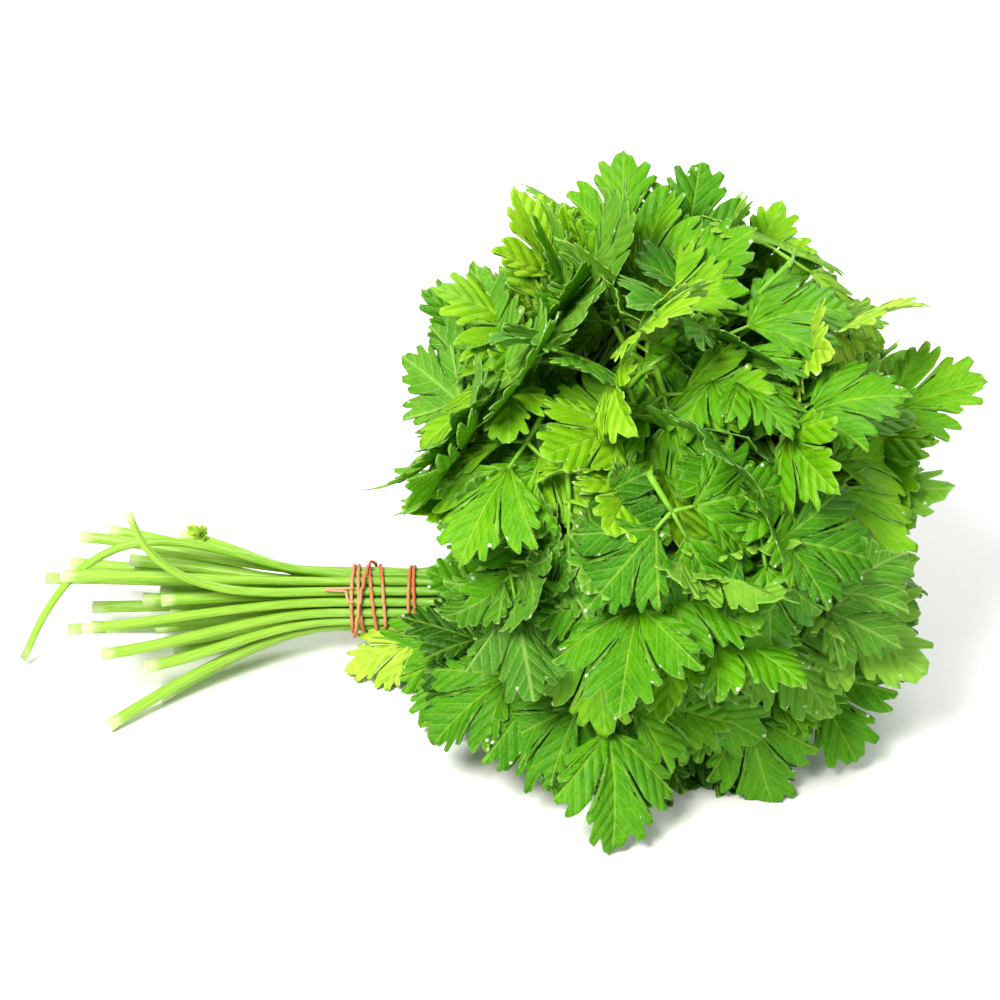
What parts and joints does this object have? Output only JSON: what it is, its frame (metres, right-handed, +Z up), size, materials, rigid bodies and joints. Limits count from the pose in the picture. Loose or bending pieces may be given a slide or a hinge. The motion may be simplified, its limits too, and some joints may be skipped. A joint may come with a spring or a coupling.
{
  "type": "tied herb bunch",
  "caption": "Fresh flat-leaved herb bunch lying on its side: pale stems held by elastic bands, spreading into a round head of lobed green leaves.",
  "frame": {"origin": "middle of the footprint, on the table the bunch lies on", "axes": "+X from the cut stem ends to the leafy head, +Y to the back of the bunch, +Z up from the table"},
  "size_m": [0.2884, 0.194, 0.1645],
  "materials": {
    "leaf": "fresh leaf, soft waxy gloss",
    "stem": "fresh green stalk, slightly moist satin",
    "elastic": "matt rubber"
  },
  "bodies": {
    "root": {"stem_01": "stem", "stem_02": "stem", "stem_03": "stem", "stem_04": "stem", "stem_05": "stem", "stem_06": "stem", "stem_07": "stem", "stem_08": "stem", "stem_09": "stem", "stem_10": "stem", "stem_11": "stem", "stem_12": "stem", "stem_13": "stem", "stem_14": "stem", "stem_15": "stem", "stem_16": "stem", "stem_17": "stem", "stem_18": "stem", "stem_19": "stem", "stem_20": "stem", "stem_21": "stem", "stem_22": "stem", "stem_23": "stem", "stem_24": "stem", "stem_25": "stem", "stem_26": "stem", "stem_27": "stem", "stem_28": "stem", "stem_29": "stem", "leaf_01": "leaf", "leaf_02": "leaf", "leaf_03": "leaf", "leaf_04": "leaf", "leaf_05": "leaf", "leaf_06": "leaf", "leaf_07": "leaf", "leaf_08": "leaf", "leaf_09": "leaf", "leaf_10": "leaf", "leaf_11": "leaf", "leaf_12": "leaf", "leaf_13": "leaf", "leaf_14": "leaf", "leaf_15": "leaf", "leaf_16": "leaf", "leaf_17": "leaf", "leaf_18": "leaf", "leaf_19": "leaf", "leaf_20": "leaf", "leaf_21": "leaf", "leaf_22": "leaf", "leaf_23": "leaf", "leaf_24": "leaf", "leaf_25": "leaf", "leaf_26": "leaf", "leaf_27": "leaf", "leaf_28": "leaf", "leaf_29": "leaf", "elastic_band_outer": "elastic", "elastic_band_inner": "elastic"}
  },
  "joints": []
}
